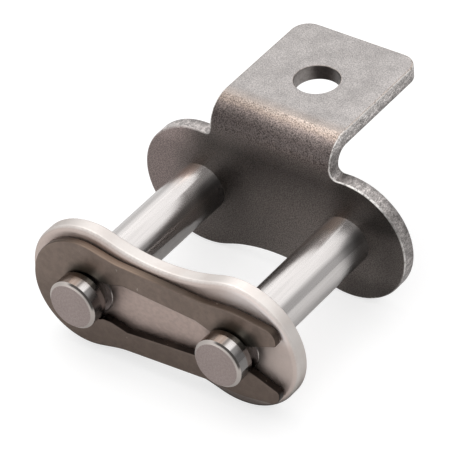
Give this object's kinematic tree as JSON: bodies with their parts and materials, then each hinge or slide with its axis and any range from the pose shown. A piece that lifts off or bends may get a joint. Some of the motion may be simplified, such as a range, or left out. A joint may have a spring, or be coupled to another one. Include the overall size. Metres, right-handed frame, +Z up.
{
  "type": "roller chain connecting link with attachment tab",
  "caption": "Roller chain connecting link with riveted pins, a slip-on cover plate held by a spring clip, and a bent attachment tab with a bolt hole.",
  "frame": {"origin": "bottom centre of the whole link's bounding box, in the plane that the lobes of the plates stand on", "axes": "+X along the chain, from the clip's closed end to its open end; +Y across the chain, from the clip to the tab; +Z up, the way the tab stands off the chain"},
  "size_m": [0.0346, 0.043, 0.0198],
  "materials": {
    "attachment_steel": "satin",
    "pin_steel": "polished",
    "cover_steel": "satin",
    "clip_steel": "satin"
  },
  "bodies": {
    "pin_link": {"attachment_plate": "attachment_steel", "left_pin": "pin_steel", "right_pin": "pin_steel"},
    "cover_plate": {"cover_plate": "cover_steel"},
    "spring_clip": {"spring_clip": "clip_steel"}
  },
  "joints": [
    {"name": "cover_plate_slide", "type": "slide", "parent": "pin_link", "child": "cover_plate", "axis": [0, 1, 0], "range_m": [0, 0.0185]},
    {"name": "spring_clip_slide", "type": "slide", "parent": "pin_link", "child": "spring_clip", "axis": [-1, 0, 0], "range_m": [0, 0.0065], "deforming": ["spring_clip"]}
  ]
}
